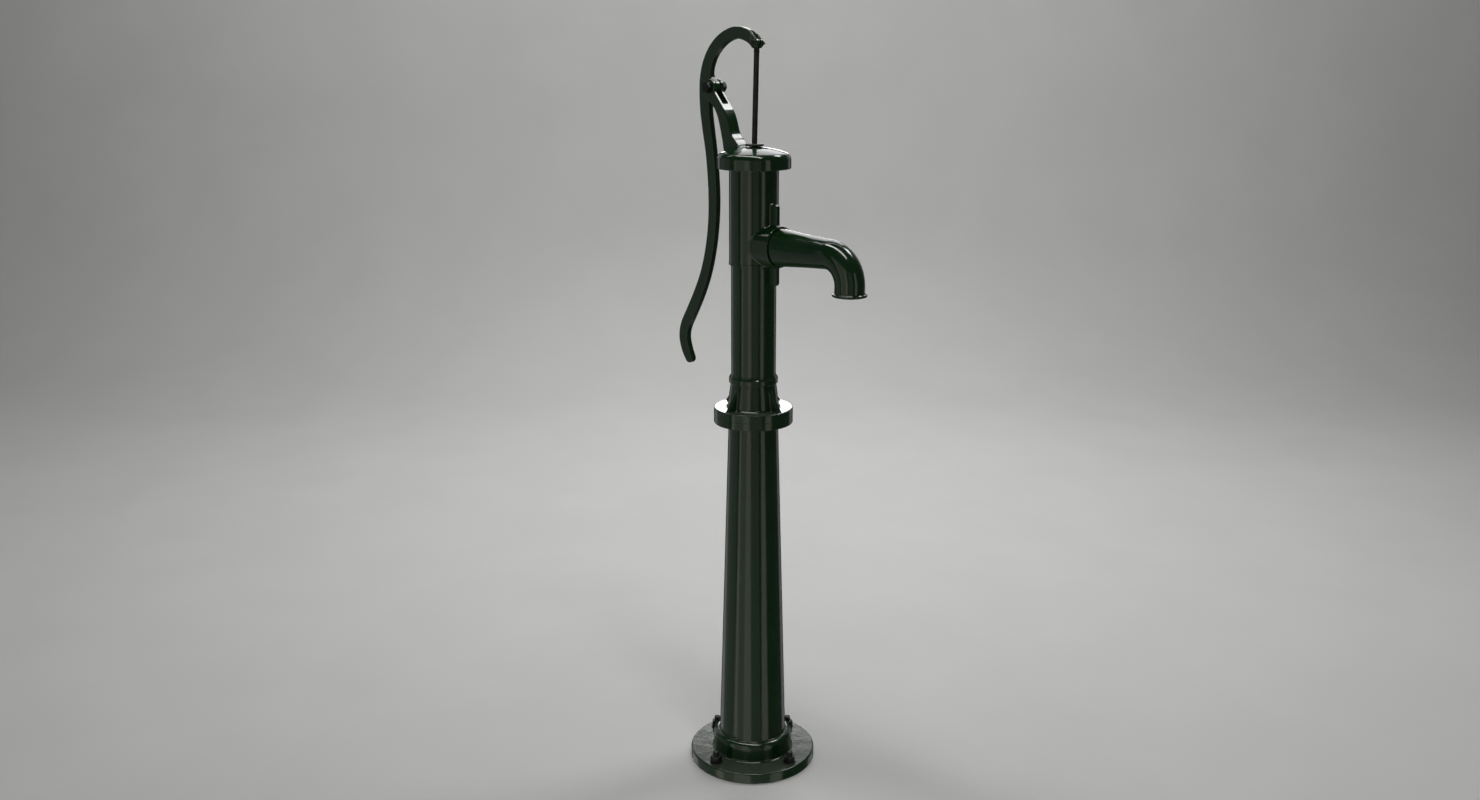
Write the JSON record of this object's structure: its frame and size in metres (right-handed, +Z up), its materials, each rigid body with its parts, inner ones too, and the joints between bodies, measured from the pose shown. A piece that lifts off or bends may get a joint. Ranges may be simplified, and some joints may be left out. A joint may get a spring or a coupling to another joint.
{
  "type": "hand well pump",
  "caption": "Lever-operated hand well pump with a domed cap, forked fulcrum, downturned spout and tapered pedestal on a round bolted base.",
  "frame": {"origin": "centre of the pedestal's underside, where the pump's axis meets the ground, at the mouth of the suction coupling", "axes": "+Z up along the pump's axis, +X towards the spout, lever on the -X side, lever's hinge axis along +Y"},
  "size_m": [0.4522, 0.241, 1.3883],
  "materials": {
    "enamel": "dark green gloss enamel over cast iron",
    "enamel_dark": "black-green gloss enamel on steel",
    "dark_steel": "oiled black-green bolt steel",
    "rod_steel": "dark drawn bar",
    "bright_steel": "plain steel",
    "galvanised": "dull zinc coat",
    "bare_iron": "rough sand casting",
    "brass": "machined",
    "leather": "oiled cup leather",
    "rubber": "matt sheet rubber"
  },
  "bodies": {
    "pump": {"pedestal": "enamel", "anchor_studs": "dark_steel", "anchor_washers": "dark_steel", "anchor_nuts": "dark_steel", "riser_pipe": "galvanised", "pipe_coupling": "galvanised", "flange_gasket": "rubber", "flange_screws": "dark_steel", "pump_foot": "enamel", "foot_valve_leather": "leather", "cylinder": "enamel", "chamber_gasket": "rubber", "head_chamber": "enamel", "spout": "enamel", "spout_gasket": "rubber", "cap": "enamel", "cap_set_screws": "dark_steel", "fulcrum_bolt": "dark_steel", "fulcrum_washers": "dark_steel", "fulcrum_nut": "dark_steel"},
    "lever": {"lever": "enamel", "rod_pin": "dark_steel", "rod_pin_cotter": "dark_steel"},
    "rod": {"pump_rod": "rod_steel", "rod_link": "rod_steel", "rod_lock_nut": "bright_steel"},
    "guide": {"guide_plate": "enamel_dark"},
    "piston": {"piston_body": "brass", "piston_cup": "leather", "piston_clamp": "brass", "piston_pin": "bright_steel", "piston_pin_clips": "bright_steel"},
    "piston_valve": {"piston_valve": "brass"},
    "foot_valve": {"foot_valve_flap": "leather", "foot_valve_weight": "bare_iron", "foot_valve_bolt": "brass", "foot_valve_nut": "brass"}
  },
  "joints": [
    {"name": "lever_swing", "type": "hinge", "parent": "pump", "child": "lever", "pos_m": [-0.102, 0, 1.284], "axis": [0, 1, 0], "range_deg": [0, 45]},
    {"name": "rod_swing", "type": "hinge", "parent": "lever", "child": "rod", "pos_m": [0.006, 0, 1.36], "axis": [0, 1, 0], "range_deg": [-42.2, 0]},
    {"name": "guide_slide", "type": "slide", "parent": "rod", "child": "guide", "axis": [0.0291, 0, 0.9996], "range_m": [0, 0.0985]},
    {"name": "piston_slide", "type": "slide", "parent": "pump", "child": "piston", "axis": [0, 0, 1], "range_m": [-0.0985, 0]},
    {"name": "piston_valve_lift", "type": "slide", "parent": "piston", "child": "piston_valve", "axis": [0, 0, 1], "range_m": [0, 0.006]},
    {"name": "foot_valve_swing", "type": "hinge", "parent": "pump", "child": "foot_valve", "pos_m": [-0.0296, 0, 0.7755], "axis": [0, -1, 0], "range_deg": [0, 25]}
  ],
  "couplings": [
    {"joint": "rod_swing", "follows": "lever_swing", "ratio": -0.928},
    {"joint": "guide_slide", "follows": "lever_swing", "m_per_rad": 0.125},
    {"joint": "piston_slide", "follows": "lever_swing", "m_per_rad": -0.125}
  ]
}
